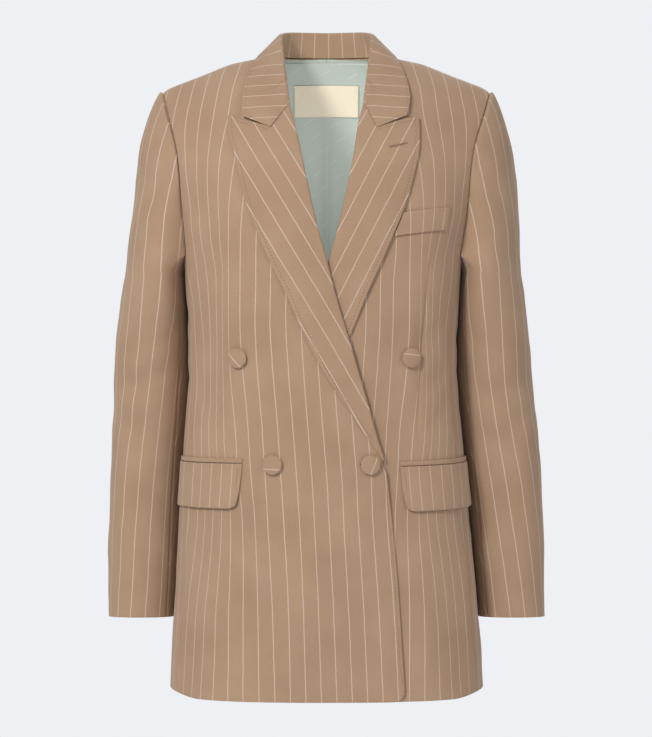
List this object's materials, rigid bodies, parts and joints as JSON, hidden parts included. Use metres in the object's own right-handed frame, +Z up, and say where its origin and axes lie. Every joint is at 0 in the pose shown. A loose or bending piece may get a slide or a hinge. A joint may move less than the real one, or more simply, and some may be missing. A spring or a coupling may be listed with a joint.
{
  "type": "double breasted blazer",
  "caption": "Double-breasted tailored blazer in striped wool with peak lapels, flap pockets and a breast welt, buttoned and filled out as when worn.",
  "frame": {"origin": "midway between the shoulders, level with the sides of the neck, on the shoulder seams' line, where the wearer's shoulders hold it", "axes": "+Z up, -Y towards the front, +X towards the wearer's left"},
  "size_m": [0.5244, 0.2524, 0.7941],
  "materials": {
    "cloth": "matt",
    "lining": "satin",
    "label": "matt"
  },
  "bodies": {
    "root": {"front_right": "cloth", "front_left": "cloth", "side_right": "cloth", "side_left": "cloth", "back_right": "cloth", "back_left": "cloth", "sleeve_top_right": "cloth", "sleeve_top_left": "cloth", "sleeve_under_right": "cloth", "sleeve_under_left": "cloth", "lapel_right": "cloth", "lapel_left": "cloth", "collar": "cloth", "pocket_flap_right": "cloth", "pocket_flap_left": "cloth", "pocket_jet_right": "cloth", "pocket_jet_left": "cloth", "breast_welt": "cloth", "button_1": "cloth", "button_2": "cloth", "button_3": "cloth", "button_4": "cloth", "lining_back": "lining", "neck_label": "label"}
  },
  "joints": []
}
